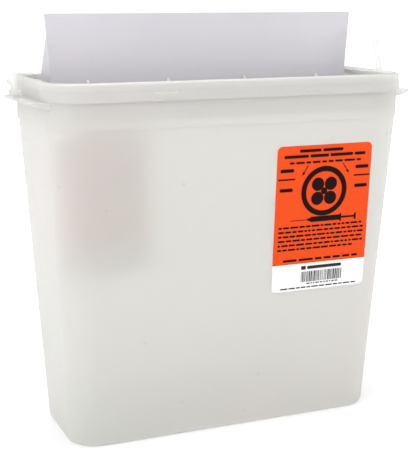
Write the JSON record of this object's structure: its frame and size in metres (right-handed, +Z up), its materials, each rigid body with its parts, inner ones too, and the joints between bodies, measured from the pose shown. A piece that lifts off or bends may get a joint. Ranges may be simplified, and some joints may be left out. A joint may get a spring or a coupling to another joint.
{
  "type": "sharps container",
  "caption": "Tapered translucent sharps container with a press-down lid, a tilting counterbalanced drop door, fold-back locking arms and face labels.",
  "frame": {"origin": "centre of the tub's bottom face, on the surface it stands on", "axes": "+X along the broad face to the right, +Y from the labelled front face to the rear, +Z up"},
  "size_m": [0.268, 0.118, 0.276],
  "materials": {
    "tub_plastic": "translucent natural polypropylene, satin",
    "lid_plastic": "translucent natural polypropylene, satin",
    "door_plastic": "translucent natural polypropylene, satin",
    "label_stock": "printed gloss label, orange panel over a white strip"
  },
  "bodies": {
    "tub_body": {"container_tub": "tub_plastic", "front_label": "label_stock", "rear_label": "label_stock"},
    "lid_body": {"lid": "lid_plastic"},
    "door_body": {"door": "door_plastic"},
    "left_arm_body": {"lock_arm_left": "lid_plastic"},
    "right_arm_body": {"lock_arm_right": "lid_plastic"}
  },
  "joints": [
    {"name": "lid_lift", "type": "slide", "parent": "tub_body", "child": "lid_body", "axis": [0, 0, 1], "range_m": [0, 0.08]},
    {"name": "door_tilt", "type": "hinge", "parent": "lid_body", "child": "door_body", "pos_m": [0, 0.0154, 0.2283], "axis": [-1, 0, 0], "range_deg": [0, 90]},
    {"name": "left_arm_fold", "type": "hinge", "parent": "tub_body", "child": "left_arm_body", "pos_m": [-0.132, -0.002, 0.2272], "axis": [-1, 0, 0], "range_deg": [0, 60]},
    {"name": "right_arm_fold", "type": "hinge", "parent": "tub_body", "child": "right_arm_body", "pos_m": [0.132, -0.002, 0.2272], "axis": [-1, 0, 0], "range_deg": [0, 60]}
  ]
}
